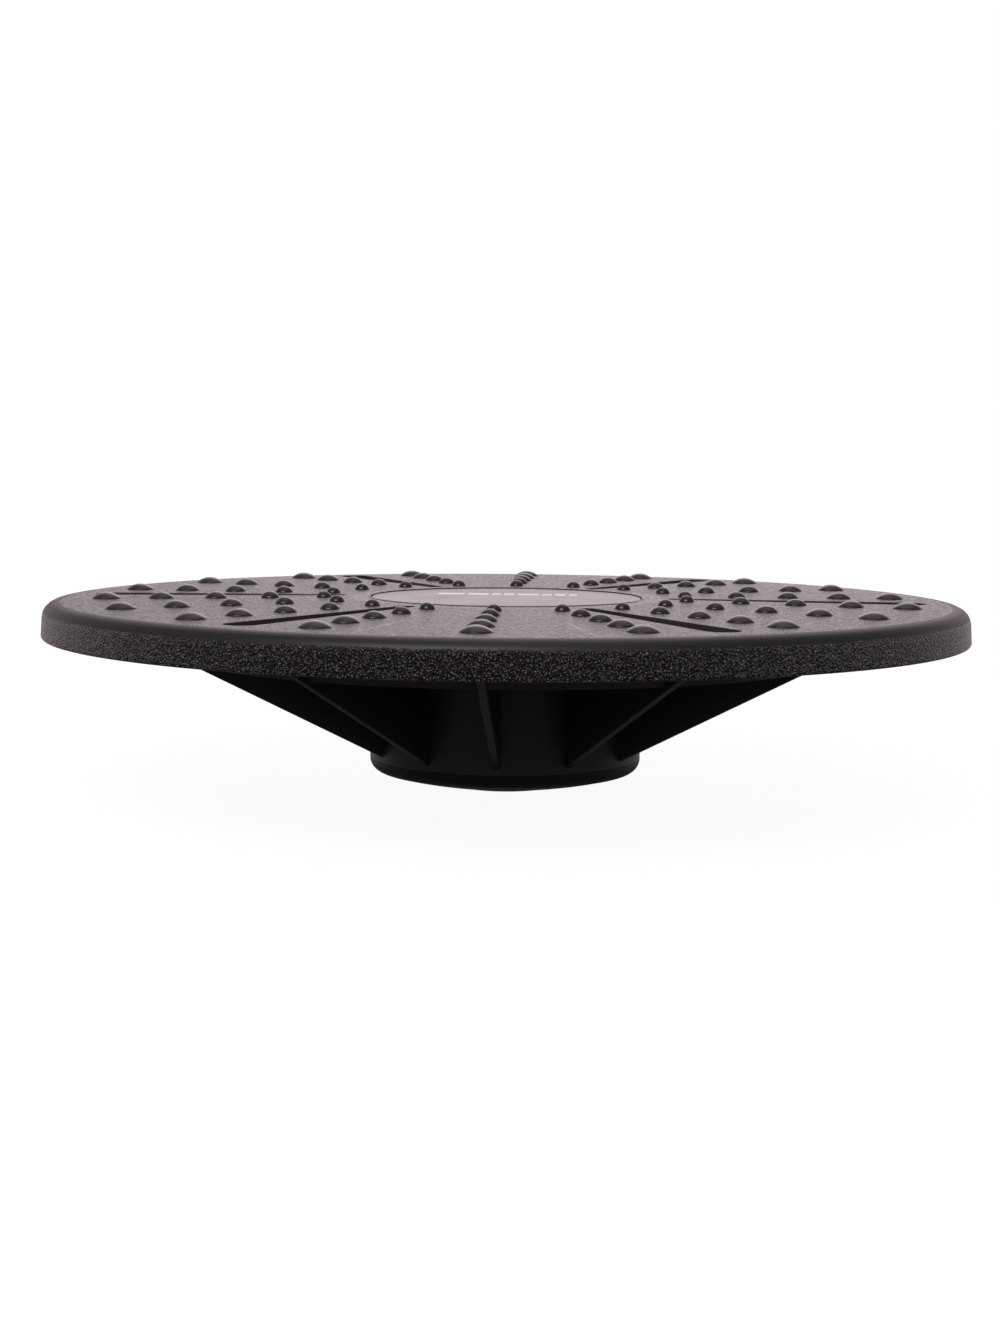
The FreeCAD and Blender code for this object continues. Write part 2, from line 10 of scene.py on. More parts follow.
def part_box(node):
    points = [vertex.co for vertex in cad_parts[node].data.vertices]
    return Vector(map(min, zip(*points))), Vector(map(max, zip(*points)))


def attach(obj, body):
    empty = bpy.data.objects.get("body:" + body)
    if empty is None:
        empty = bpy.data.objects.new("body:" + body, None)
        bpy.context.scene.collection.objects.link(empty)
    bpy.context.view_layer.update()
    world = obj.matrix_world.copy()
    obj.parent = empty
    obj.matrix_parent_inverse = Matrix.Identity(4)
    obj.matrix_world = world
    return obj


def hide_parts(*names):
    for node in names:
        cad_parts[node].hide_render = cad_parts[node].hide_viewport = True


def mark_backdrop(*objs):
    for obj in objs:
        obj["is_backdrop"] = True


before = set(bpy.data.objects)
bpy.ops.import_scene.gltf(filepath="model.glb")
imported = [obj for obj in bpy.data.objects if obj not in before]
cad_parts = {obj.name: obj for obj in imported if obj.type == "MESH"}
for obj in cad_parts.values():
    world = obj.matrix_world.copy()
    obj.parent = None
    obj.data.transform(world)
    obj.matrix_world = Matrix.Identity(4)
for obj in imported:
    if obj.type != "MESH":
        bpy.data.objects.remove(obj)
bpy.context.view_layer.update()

MM = 0.001


# ---------------------------------------------------------------- sizes, from the frame


def top_of(node):
    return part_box(node)[1].z


def bottom_of(node):
    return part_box(node)[0].z


UNDERSIDE = top_of("rib_01")
DECK_THICKNESS = 4 * MM
DECK_TOP = UNDERSIDE + DECK_THICKNESS
RIM_BOTTOM = 68.6 * MM
DECK_RADIUS = 200 * MM
RIM_FLARES = (0.6 * MM, 1.3 * MM)
CONE_RISE = 0.46 * MM
CONE_FALL = 0.96 * MM
HUB_TOP = top_of("hub")
HUB_RADIUS = 60 * MM
CAP_TOP = 84.05 * MM
CAP_RADIUS = 59.6 * MM
LABEL_TOP = 84.3 * MM
LABEL_RADIUS = 59.2 * MM
SEAT_RADIUS = 60 * MM
SEAT_FLOOR = DECK_TOP - 2.6 * MM
SEAT_LIP_TOP = 84.8 * MM
SEAT_LIP_CREST = 0.95 * MM
SEAT_LIP_WIDTH = 1.4 * MM
MOUTH_RADIUS = 46 * MM
RIM_WALL = 3.6 * MM
EDGE_ROUND = 6.5 * MM
RIM_FOOT_ROUND = 1.0 * MM
GRAIN_TOP = 79.2 * MM
GRAIN_FADE = (0.8 * MM, -0.1 * MM)
RIB_COUNT = 12

GROOVE_COUNT = 6
GROOVE_ENDS = (74.5 * MM, 177 * MM)
GROOVE_HALF_WIDTHS = (3.5 * MM, 7 * MM)
GROOVE_DEPTH = 2.6 * MM
GROOVE_LIP = 0.3 * MM

KNOB_ROWS = 18
KNOB_SIZES = 5
KNOB_HEIGHT = 2.7 * MM
KNOB_SMALLEST = 6.5 * MM
KNOB_GROWTH = 1.5 * MM
KNOB_FIRST_RADIUS = 80.4 * MM
KNOB_PITCH = 23.45 * MM


def deck_height(radius):
    """The standing face falls slightly and evenly from the cap's seat to the rim."""
    return DECK_TOP + CONE_RISE - CONE_FALL * (radius - SEAT_RADIUS) / (DECK_RADIUS - SEAT_RADIUS)


RIM_TOP = deck_height(DECK_RADIUS)


# ---------------------------------------------------------------- mesh building


class Builder:
    """Collects points and faces for one piece."""

    def __init__(self):
        self.points = []
        self.faces = []
        self.slots = []

    def loop(self, points):
        first = len(self.points)
        self.points.extend(points)
        return list(range(first, len(self.points)))

    def face(self, corners, slot=0):
        self.faces.append(tuple(corners))
        self.slots.append(slot)

    def bridge(self, lower, upper, slot=0):
        """Quads between two closed loops of the same length."""
        count = len(lower)
        for i in range(count):
            j = (i + 1) % count
            self.face((lower[i], lower[j], upper[j], upper[i]), slot)

    def piece(self, name, materials, sharp=32):
        mesh = bpy.data.meshes.new(name)
        mesh.from_pydata([tuple(p) for p in self.points], [], self.faces)
        for material in materials:
            mesh.materials.append(material)
        mesh.polygons.foreach_set("material_index", self.slots)
        mesh.polygons.foreach_set("use_smooth", [True] * len(self.faces))
        mesh.validate()
        mesh.set_sharp_from_angle(angle=radians(sharp))
        mesh.update()
        made = bpy.data.objects.new(name, mesh)
        bpy.context.scene.collection.objects.link(made)
        return made


def circle(radius, height, count, centre=(0.0, 0.0)):
    return [
        Vector((centre[0] + radius * cos(tau * i / count), centre[1] + radius * sin(tau * i / count), height))
        for i in range(count)
    ]


def rounded(corner, before, after, radius, steps=5):
    """Points of the arc that rounds a corner of a profile between its neighbours."""
    corner, before, after = Vector(corner), Vector(before), Vector(after)
    way_in = (before - corner).normalized()
    way_out = (after - corner).normalized()
    half = way_in.angle(way_out) / 2
    reach = radius / abs(sin(half) / cos(half))
    start, end = corner + way_in * reach, corner + way_out * reach
    centre = corner + (way_in + way_out).normalized() * (radius / sin(half))
    turn = (start - centre).angle_signed(end - centre)
    points = []
    for step in range(steps + 1):
        arm = (start - centre).copy()
        arm.rotate(Matrix.Rotation(-turn * step / steps, 2))
        points.append(tuple(centre + arm))
    return points


def rounded_profile(corners, closed=True):
    """A profile from (radius, height, rounding) corners, as a list of (radius, height)."""
    count = len(corners)
    points = []
    for i, (x, y, rounding) in enumerate(corners):
        if rounding <= 0 or (not closed and i in (0, count - 1)):
            points.append((x, y))
            continue
        before, after = corners[i - 1][:2], corners[(i + 1) % count][:2]
        points.extend(rounded((x, y), before, after, rounding))
    return points


def turn_profile(builder, profile, segments, slot=0, closed=True):
    """Revolves a profile about Z. A point on the axis becomes one pole."""
    rings = []
    for radius, height in profile:
        if radius < 1e-7:
            rings.append(builder.loop([Vector((0, 0, height))]) * segments)
        else:
            rings.append(builder.loop(circle(radius, height, segments)))
    pairs = list(zip(rings, rings[1:]))
    if closed:
        pairs.append((rings[-1], rings[0]))
    for first, second in pairs:
        for i in range(segments):
            j = (i + 1) % segments
            corners = []
            for index in (first[i], first[j], second[j], second[i]):
                if index not in corners:
                    corners.append(index)
            if len(corners) > 2:
                builder.face(corners, slot)
    return rings


# ---------------------------------------------------------------- materials


class Shader:
    """A material's node tree, with short ways to add nodes."""

    def __init__(self, name):
        self.material = bpy.data.materials.new(name)
        self.material.use_nodes = True
        self.tree = self.material.node_tree
        self.surface = self.tree.nodes["Principled BSDF"]
        self.place = self.add("ShaderNodeTexCoord").outputs["Object"]

    def add(self, kind, settings=None, **inputs):
        made = self.tree.nodes.new(kind)
        for key, value in (settings or {}).items():
            setattr(made, key, value)
        for key, value in inputs.items():
            self.feed(made.inputs[key.replace("_", " ")], value)
        return made

    def feed(self, socket, value):
        if isinstance(value, bpy.types.NodeSocket):
            self.tree.links.new(value, socket)
        else:
            socket.default_value = value

    def math(self, operation, first, second=0.0, clamp=False):
        made = self.add("ShaderNodeMath", {"operation": operation, "use_clamp": clamp})
        self.feed(made.inputs[0], first)
        self.feed(made.inputs[1], second)
        return made.outputs[0]

    def noise(self, scale, detail=3.0, roughness=0.5, place=None):
        made = self.add("ShaderNodeTexNoise", None, Scale=scale, Detail=detail, Roughness=roughness)
        self.feed(made.inputs["Vector"], self.place if place is None else place)
        return made.outputs[0]

    def warped(self, scale, amount):
        """The place shifted by noise, so that cells come out wavy."""
        noise = self.add("ShaderNodeTexNoise", None, Scale=scale, Detail=1.0)
        self.feed(noise.inputs["Vector"], self.place)
        offset = self.add("ShaderNodeVectorMath", {"operation": "MULTIPLY_ADD"})
        self.feed(offset.inputs[0], noise.outputs["Color"])
        self.feed(offset.inputs[1], (amount, amount, amount))
        self.feed(offset.inputs[2], self.place)
        return offset.outputs[0]

    def cells(self, size, place, smoothness):
        """Rounded pebbles of a size in metres: 1 at a pebble's middle, 0 in the cracks."""
        settings = {"feature": "SMOOTH_F1"}
        made = self.add("ShaderNodeTexVoronoi", settings, Vector=place, Scale=1 / size, Smoothness=smoothness)
        return self.spread(made.outputs["Distance"], 0.75, 0.05)

    def spread(self, value, low, high, to_low=0.0, to_high=1.0, smooth=False):
        kind = "SMOOTHSTEP" if smooth else "LINEAR"
        made = self.add("ShaderNodeMapRange", {"interpolation_type": kind})
        sockets = ("Value", "From Min", "From Max", "To Min", "To Max")
        for socket, number in zip(sockets, (value, low, high, to_low, to_high)):
            self.feed(made.inputs[socket], number)
        return made.outputs["Result"]

    def blend(self, factor, first, second):
        made = self.add("ShaderNodeMix", {"data_type": "RGBA"})
        self.feed(made.inputs["Factor"], factor)
        self.feed(made.inputs[6], first)
        self.feed(made.inputs[7], second)
        return made.outputs[2]

    def axis(self, name):
        return self.add("ShaderNodeSeparateXYZ", None, Vector=self.place).outputs[name]

    def from_centre(self):
        parts = self.add("ShaderNodeSeparateXYZ", None, Vector=self.place)
        squares = [self.math("MULTIPLY", parts.outputs[a], parts.outputs[a]) for a in ("X", "Y")]
        return self.math("SQRT", self.math("ADD", *squares))

    def bump(self, height, distance, strength=1.0, over=None):
        made = self.add("ShaderNodeBump", None, Height=height, Distance=distance, Strength=strength)
        if over is not None:
            self.feed(made.inputs["Normal"], over)
        return made.outputs["Normal"]

    def see_through_from_behind(self):
        """Clears the back of a sheet, so that what stands on it can be looked at from below."""
        out = next(node for node in self.tree.nodes if node.type == "OUTPUT_MATERIAL")
        made = self.add("ShaderNodeMixShader")
        self.feed(made.inputs[0], self.add("ShaderNodeNewGeometry").outputs["Backfacing"])
        self.feed(made.inputs[1], self.surface.outputs["BSDF"])
        self.feed(made.inputs[2], self.add("ShaderNodeBsdfTransparent").outputs["BSDF"])
        self.feed(out.inputs["Surface"], made.outputs["Shader"])

    def finish(self, colour, roughness, normal=None, **constants):
        self.feed(self.surface.inputs["Base Color"], colour)
        self.feed(self.surface.inputs["Roughness"], roughness)
        if normal is not None:
            self.feed(self.surface.inputs["Normal"], normal)
        for key, value in constants.items():
            self.surface.inputs[key.replace("_", " ")].default_value = value
        return self.material


def deck_colour(shader, dark, light):
    """Moulded plastic is never one even colour: broad clouds and fine specks."""
    clouds = shader.noise(14, 4.0)
    specks = shader.noise(1400, 2.0)
    mixed = shader.math("ADD", shader.math("MULTIPLY", clouds, 0.6), shader.math("MULTIPLY", specks, 0.4))
    return shader.blend(shader.spread(mixed, 0.3, 0.7), dark, light)


def sink_lines(shader, distance):
    """Faint radial lines moulded in the standing face, a pair about every third row of knobs: 1 on a line."""
    parts = shader.add("ShaderNodeSeparateXYZ", None, Vector=shader.place)
    angle = shader.math("ARCTAN2", parts.outputs["X"], parts.outputs["Y"])
    folded = shader.math("PINGPONG", shader.math("ADD", angle, tau), pi / 6)
    off_line = shader.math("ABSOLUTE", shader.math("SUBTRACT", folded, radians(13.3)))
    across = shader.math("MULTIPLY", off_line, distance)
    line = shader.spread(across, 1.3 * MM, 0.2 * MM, smooth=True)
    inner = shader.spread(distance, 128 * MM, 136 * MM, smooth=True)
    outer = shader.spread(distance, 193 * MM, 188 * MM, smooth=True)
    return shader.math("MULTIPLY", line, shader.math("MULTIPLY", inner, outer))


def make_top_plastic():
    """The standing face: sand grain, and a smoother, cooler ring round the cap."""
    shader = Shader("deck_top_grain")
    distance = shader.from_centre()
    ring = shader.spread(distance, 70.0 * MM, 67.5 * MM, smooth=True)
    grit = shader.noise(420, 2.0, 0.65)
    sand = shader.noise(1000, 3.0, 0.6)
    height = shader.math("ADD", shader.math("MULTIPLY", grit, 0.75), shader.math("MULTIPLY", sand, 0.25))
    line = sink_lines(shader, distance)
    smoother = shader.math("MAXIMUM", ring, shader.math("MULTIPLY", line, 0.7))
    strength = shader.spread(smoother, 0.0, 1.0, 1.0, 0.10)
    waves = shader.bump(shader.noise(24, 2.0), 0.5 * MM, 0.25)
    lines = shader.bump(line, 0.12 * MM, 0.8, over=waves)
    normal = shader.bump(height, 2.2 * MM, strength, over=lines)
    roughness = shader.spread(shader.noise(520, 3.0, 0.6), 0.35, 0.65, 0.16, 0.46)
    roughness = shader.math("ADD", roughness, shader.math("MULTIPLY", ring, 0.06))
    grained = deck_colour(shader, (0.020, 0.018, 0.019, 1), (0.052, 0.048, 0.050, 1))
    colour = shader.blend(shader.math("MULTIPLY", ring, 0.8), grained, (0.026, 0.032, 0.060, 1))
    return shader.finish(colour, roughness, normal, Specular_IOR_Level=0.5)


def make_rim_plastic():
    """The side of the rim: leather pebbles that start below the smooth top corner, with painted highlights on
    their crests and painted shade in their cracks.
    """
    shader = Shader("deck_rim_grain")
    uneven = shader.math("MULTIPLY", shader.math("SUBTRACT", shader.noise(700, 2.0), 0.5), 1.6 * MM)
    height_up = shader.math("ADD", shader.axis("Z"), uneven)
    smooth_from, full_from = (GRAIN_TOP + fade for fade in GRAIN_FADE)
    grained = shader.spread(height_up, smooth_from, full_from, smooth=True)
    pebbles = shader.cells(0.95 * MM, shader.warped(600, 1.4 * MM), 0.08)
    sand = shader.noise(1700, 3.0, 0.6)
    leather = shader.math("ADD", shader.math("MULTIPLY", pebbles, 0.85), shader.math("MULTIPLY", sand, 0.15))
    fine = shader.bump(sand, 0.05 * MM, 0.5)
    normal = shader.bump(shader.math("MULTIPLY", leather, grained), 1.25 * MM, 1.0, over=fine)
    base = deck_colour(shader, (0.006, 0.0055, 0.006, 1), (0.011, 0.010, 0.011, 1))
    # Painted light: the pebbles' crests are coloured light as painted highlights, and their cracks near black as
    # painted shade.
    painted_crest_light_and_crack_shade = shader.blend(shader.spread(leather, 0.42, 0.76), (0.001, 0.001, 0.001, 1), (0.19, 0.17, 0.18, 1))
    colour = shader.blend(grained, base, painted_crest_light_and_crack_shade)
    roughness = shader.spread(grained, 0.0, 1.0, 0.44, 0.19)
    return shader.finish(colour, roughness, normal, Specular_IOR_Level=0.42)


def make_groove_plastic():
    """Inside the grooves the plastic is matt, with the drag marks of the mould, and its colour is darkened as
    painted shade in the recess.
    """
    shader = Shader("deck_groove")
    drag = shader.noise(500, 4.0, 0.6)
    normal = shader.bump(drag, 0.10 * MM, 0.8)
    # Painted shade: the groove's tones are kept darker than the standing face's, for the shade inside the
    # recess.
    colour = shader.blend(drag, (0.009, 0.008, 0.009, 1), (0.022, 0.020, 0.022, 1))
    return shader.finish(colour, shader.spread(drag, 0.3, 0.7, 0.50, 0.62), normal, Specular_IOR_Level=0.4)


def make_under_plastic():
    """The underside of the deck: smoother, with faint flow lines from the middle."""
    shader = Shader("deck_underside")
    flow = shader.noise(9, 5.0, 0.6)
    fine = shader.bump(shader.noise(1300, 2.0), 0.04 * MM, 0.5)
    normal = shader.bump(flow, 0.6 * MM, 0.25, over=fine)
    colour = deck_colour(shader, (0.016, 0.015, 0.016, 1), (0.026, 0.024, 0.025, 1))
    return shader.finish(colour, shader.spread(flow, 0.3, 0.7, 0.42, 0.55), normal, Specular_IOR_Level=0.45)


def make_knob_rubber():
    """Satin rubber with a fine grain, and painted shade on the steep sides round the foot of each knob."""
    shader = Shader("knob_rubber")
    facing = shader.add("ShaderNodeNewGeometry").outputs["Normal"]
    up = shader.add("ShaderNodeSeparateXYZ", None, Vector=facing).outputs["Z"]
    # Painted shade: where a knob's surface turns steep towards its foot, its colour is darkened.
    low = shader.spread(up, 0.80, 0.60, smooth=True)
    fine = shader.bump(shader.noise(1500, 3.0), 0.03 * MM, 0.5)
    normal = shader.bump(shader.noise(260, 2.0), 0.06 * MM, 0.2, over=fine)
    base = shader.blend(shader.noise(90, 3.0), (0.020, 0.018, 0.019, 1), (0.032, 0.029, 0.031, 1))
    colour = shader.blend(shader.math("MULTIPLY", low, 0.6), base, (0.009, 0.008, 0.009, 1))
    roughness = shader.spread(shader.noise(500, 3.0), 0.3, 0.7, 0.18, 0.25)
    return shader.finish(colour, roughness, normal, Specular_IOR_Level=0.5)


def make_cap_plastic():
    shader = Shader("cap_plastic")
    normal = shader.bump(shader.noise(1500, 2.0), 0.02 * MM, 0.4)
    colour = deck_colour(shader, (0.010, 0.010, 0.011, 1), (0.020, 0.019, 0.021, 1))
    return shader.finish(colour, shader.spread(shader.noise(70, 3.0), 0.3, 0.7, 0.30, 0.40), normal)


def make_label_film():
    """A printed film: warm grey under a clear gloss, with the faint orange-peel of a glued sheet."""
    shader = Shader("label_film")
    peel = shader.bump(shader.noise(160, 2.0), 0.05 * MM, 0.25)
    normal = shader.bump(shader.noise(420, 3.0), 0.04 * MM, 0.5, over=peel)
    fibres = shader.noise(2200, 2.0)
    colour = shader.blend(shader.spread(fibres, 0.3, 0.7), (0.122, 0.109, 0.113, 1), (0.160, 0.144, 0.148, 1))
    return shader.finish(colour, shader.spread(shader.noise(50, 3.0), 0.3, 0.7, 0.30, 0.38), normal)


def make_ink():
    shader = Shader("label_ink")
    patchy = shader.noise(900, 3.0)
    colour = shader.blend(shader.spread(patchy, 0.3, 0.7), (0.80, 0.77, 0.78, 1), (0.92, 0.90, 0.91, 1))
    normal = shader.bump(patchy, 0.01 * MM, 0.3)
    return shader.finish(colour, shader.spread(patchy, 0.3, 0.7, 0.35, 0.45), normal)


FRAME_TONES = ((0.0140, 0.0130, 0.0138), (0.0210, 0.0192, 0.0205))


def make_frame_plastic(name, painted_shade=1.0, gloss=1.0, scuffs=0.0):
    """Smooth black moulding, with its colour scaled down by a painted-shade factor and its shine scaled by
    gloss, with scuffs near the floor.
    """
    shader = Shader(name)
    flow = shader.noise(18, 4.0, 0.6)
    fine = shader.bump(shader.noise(1500, 2.0), 0.03 * MM, 0.5)
    normal = shader.bump(flow, 0.4 * MM, 0.2, over=fine)
    # Painted shade: a factor below 1 darkens both tones, to paint shade into the colour.
    dark, light = ((r * painted_shade, g * painted_shade, b * painted_shade, 1) for r, g, b in FRAME_TONES)
    base = shader.blend(flow, dark, light)
    roughness = shader.spread(flow, 0.3, 0.7, 0.40, 0.50)
    if scuffs:
        marks = shader.spread(shader.noise(240, 6.0, 0.7), 0.56, 0.66)
        low = shader.spread(shader.axis("Z"), 9 * MM, 1 * MM, smooth=True)
        worn = shader.math("MULTIPLY", shader.math("MULTIPLY", marks, low), scuffs)
        base = shader.blend(worn, base, (0.060, 0.058, 0.060, 1))
        roughness = shader.math("ADD", roughness, shader.math("MULTIPLY", worn, 0.3))
    return shader.finish(base, roughness, normal, Specular_IOR_Level=0.35 * gloss)


def make_pad_rubber():
    shader = Shader("pad_rubber")
    dust = shader.spread(shader.noise(120, 6.0, 0.7), 0.50, 0.70)
    normal = shader.bump(shader.noise(2400, 3.0), 0.05 * MM, 0.7)
    colour = shader.blend(dust, (0.022, 0.021, 0.022, 1), (0.060, 0.056, 0.054, 1))
    return shader.finish(colour, shader.spread(dust, 0.0, 1.0, 0.65, 0.85), normal, Specular_IOR_Level=0.3)


def make_screw_steel():
    shader = Shader("screw_steel")
    turned = shader.noise(900, 3.0)
    normal = shader.bump(turned, 0.02 * MM, 0.4)
    colour = shader.blend(shader.noise(300, 3.0), (0.46, 0.46, 0.48, 1), (0.62, 0.61, 0.60, 1))
    return shader.finish(colour, shader.spread(turned, 0.3, 0.7, 0.28, 0.45), normal, Metallic=1.0)


TOP_PLASTIC = make_top_plastic()
RIM_PLASTIC = make_rim_plastic()
UNDER_PLASTIC = make_under_plastic()
GROOVE_PLASTIC = make_groove_plastic()
KNOB_RUBBER = make_knob_rubber()
CAP_PLASTIC = make_cap_plastic()
LABEL_FILM = make_label_film()
INK = make_ink()
FRAME_PLASTIC = make_frame_plastic("frame_plastic")
# Painted shade: the rocker is the hub's plastic with its colour darkened to 0.45 for the shade low on the board;
# its scuffs are wear.
ROCKER_PLASTIC = make_frame_plastic("rocker_plastic", painted_shade=0.45, gloss=0.7, scuffs=0.8)
PAD_RUBBER = make_pad_rubber()
SCREW_STEEL = make_screw_steel()


# ---------------------------------------------------------------- deck


def groove_loop(angle, inset, depth, arc_steps=14, side_steps=16):
    """One loop of a tapered groove: two round ends joined by straight sides, drawn in by inset."""
    points = []
    for end, facing in ((1, 0.0), (0, pi)):
        centre, radius = GROOVE_ENDS[end], GROOVE_HALF_WIDTHS[end] - inset
        for step in range(arc_steps + 1):
            turn = facing - pi / 2 + pi * step / arc_steps
            points.append(Vector((centre + radius * cos(turn), radius * sin(turn), 0)))
        start = points[-1].copy()
        other = 1 - end
        goal_radius = GROOVE_HALF_WIDTHS[other] - inset
        goal = Vector((GROOVE_ENDS[other], goal_radius if facing == 0.0 else -goal_radius, 0))
        points.extend(start.lerp(goal, step / side_steps) for step in range(1, side_steps))
    turned = Matrix.Rotation(angle, 4, "Z")
    for point in points:
        point.z = deck_height(point.length) - depth
    return [turned @ point for point in points]


def groove_levels(lip=GROOVE_LIP, root=0.7 * MM, draft=0.2 * MM, steps=4):
    """Inset and depth of each loop, from the lip's outer edge down to the floor."""
    levels = []
    for step in range(steps + 1):
        turn = pi / 2 * step / steps
        levels.append((-lip * (1 - sin(turn)), lip * (1 - cos(turn))))
    for step in range(steps + 1):
        turn = pi / 2 * step / steps
        levels.append((draft + root * (1 - cos(turn)), GROOVE_DEPTH - root * (1 - sin(turn))))
    return levels


def make_standing_face(builder, rings, inner_flat, angles):
    """Fills the standing face between its edge, the seat's lip and the grooves. Returns the loops of points."""
    flat_points = [point.to_2d() for ring in rings for point in ring]
    edges = []
    starts = [0]
    for ring in rings:
        first, count = starts[-1], len(ring)
        edges += [(first + i, first + (i + 1) % count) for i in range(count)]
        starts.append(first + count)
    found, _, triangles, origins, _, _ = delaunay_2d_cdt(flat_points, edges, [], 1, 1e-7)
    if len(found) != len(flat_points):
        raise RuntimeError("the deck's outline points were merged")
    place = {sources[0]: i for i, sources in enumerate(origins)}
    indices = builder.loop([Vector((p.x, p.y, deck_height(p.length))) for p in found])
    for triangle in triangles:
        middle = sum((found[i] for i in triangle), Vector((0, 0))) / 3
        if middle.length > inner_flat * cos(pi / 180) and not in_groove(middle, angles):
            builder.face([indices[i] for i in triangle])
    return [[indices[place[i]] for i in range(start, end)] for start, end in zip(starts, starts[1:])]


def deck_outside(outer_flat, inner_flat):
    """The deck's profile from the standing face round the rim, the underside and the seat to its lip."""
    corners = [
        (outer_flat - 1 * MM, deck_height(outer_flat - 1 * MM), 0),
        (DECK_RADIUS + RIM_FLARES[0] - 0.2 * MM, RIM_TOP, EDGE_ROUND),
        (DECK_RADIUS + RIM_FLARES[1], RIM_BOTTOM, RIM_FOOT_ROUND),
        (DECK_RADIUS - RIM_WALL, RIM_BOTTOM, 1.0 * MM),
        (DECK_RADIUS - RIM_WALL, UNDERSIDE, 2.0 * MM),
        (HUB_RADIUS, UNDERSIDE, 0),
        (HUB_RADIUS, HUB_TOP, 0),
        (MOUTH_RADIUS, HUB_TOP, 0),
        (MOUTH_RADIUS, SEAT_FLOOR, 0),
        (SEAT_RADIUS, SEAT_FLOOR, 0),
        (SEAT_RADIUS, SEAT_LIP_TOP, 0.35 * MM),
        (SEAT_RADIUS + SEAT_LIP_CREST, SEAT_LIP_TOP, 0.25 * MM),
        (inner_flat - 0.15 * MM, deck_height(inner_flat) + 0.03 * MM, 0),
        (inner_flat, deck_height(inner_flat), 0),
    ]
    return rounded_profile(corners, closed=False)[2:-1]


TOP_SLOT, RIM_SLOT, UNDER_SLOT, GROOVE_SLOT = range(4)


def deck_slot(radius, height, inner_flat):
    """Which of the deck's materials a ring of its outside has."""
    if radius > DECK_RADIUS - 0.5 * RIM_WALL:
        return RIM_SLOT
    if radius < inner_flat and height > SEAT_FLOOR - 0.1 * MM:
        return TOP_SLOT
    return UNDER_SLOT


def make_deck():
    segments = 360
    seat_segments = segments // 2
    builder = Builder()
    outer_flat = DECK_RADIUS - EDGE_ROUND - 0.3 * MM
    inner_flat = SEAT_RADIUS + SEAT_LIP_WIDTH
    angles = [radians(30 + 60 * k) - pi / 2 for k in range(GROOVE_COUNT)]
    levels = groove_levels()
    rings = [circle(outer_flat, 0, segments), circle(inner_flat, 0, seat_segments)]
    rings += [groove_loop(angle, levels[0][0], 0) for angle in angles]
    outer_loop, seat_loop, *groove_edges = make_standing_face(builder, rings, inner_flat, angles)

    for angle, above in zip(angles, groove_edges):
        for inset, depth in levels[1:]:
            below = builder.loop(groove_loop(angle, inset, depth))
            builder.bridge(below, above, GROOVE_SLOT)
            above = below
        builder.face(above, GROOVE_SLOT)

    previous = outer_loop
    for radius, height in deck_outside(outer_flat, inner_flat):
        ring = builder.loop(circle(radius, height, segments))
        builder.bridge(ring, previous, deck_slot(radius, height, inner_flat))
        previous = ring
    for i in range(seat_segments):
        this, after = seat_loop[i], seat_loop[(i + 1) % seat_segments]
        a, b, c = previous[2 * i], previous[2 * i + 1], previous[(2 * i + 2) % segments]
        builder.face((this, a, b))
        builder.face((this, b, after))
        builder.face((after, b, c))
    deck = builder.piece("moulded_deck", [TOP_PLASTIC, RIM_PLASTIC, UNDER_PLASTIC, GROOVE_PLASTIC], sharp=40)
    return settle(deck, "deck", slot="deck_plastic")


def in_groove(point, angles):
    """Whether a point of the deck's top lies over one of the grooves."""
    for angle in angles:
        along = point.x * cos(angle) + point.y * sin(angle)
        across = abs(point.y * cos(angle) - point.x * sin(angle))
        share = min(max((along - GROOVE_ENDS[0]) / (GROOVE_ENDS[1] - GROOVE_ENDS[0]), 0), 1)
        half = GROOVE_HALF_WIDTHS[0] + (GROOVE_HALF_WIDTHS[1] - GROOVE_HALF_WIDTHS[0]) * share
        nearest = min(max(along, GROOVE_ENDS[0]), GROOVE_ENDS[1])
        if hypot(along - nearest, across) < half + GROOVE_LIP:
            return True
    return False


def settle(piece, *nodes, slot):
    """The piece rides on the board and stands for its CAD nodes, which are hidden."""
    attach(piece, "root")
    if nodes:
        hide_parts(*nodes)
    return piece


# ---------------------------------------------------------------- knobs, cap and label


def dome_profile(radius, height, brim=0.25 * MM, steps=12):
    """A low dome on a short straight brim, from under the deck's face to the tip."""
    rise = height - brim
    ball = (radius * radius + rise * rise) / (2 * rise)
    rim_angle = atan2(radius, ball - rise)
    points = [(radius, -0.2 * MM), (radius, brim * 0.6)]
    for step in range(steps + 1):
        turn = rim_angle * (1 - step / steps)
        points.append((ball * sin(turn) * (0.995 if step == 0 else 1), height - ball + ball * cos(turn)))
    return points


def make_knobs(size):
    builder = Builder()
    distance = KNOB_FIRST_RADIUS + KNOB_PITCH * size
    radius = (KNOB_SMALLEST + KNOB_GROWTH * size) / 2
    profile = dome_profile(radius, KNOB_HEIGHT)
    foot = deck_height(distance)
    segments = 40
    for row in range(KNOB_ROWS):
        angle = tau * row / KNOB_ROWS - pi / 2
        centre = (distance * cos(angle), distance * sin(angle))
        previous = None
        for ring_radius, height in profile[:-1]:
            ring = builder.loop(circle(ring_radius, foot + height, segments, centre))
            if previous:
                builder.bridge(previous, ring)
            previous = ring
        tip = builder.loop([Vector((*centre, foot + profile[-1][1]))])[0]
        for i in range(segments):
            builder.face((previous[i], previous[(i + 1) % segments], tip))
    knobs = builder.piece(f"domed_knobs_{size + 1}", [KNOB_RUBBER], sharp=50)
    return settle(knobs, f"knobs_size_{size + 1}", slot="knob_rubber")


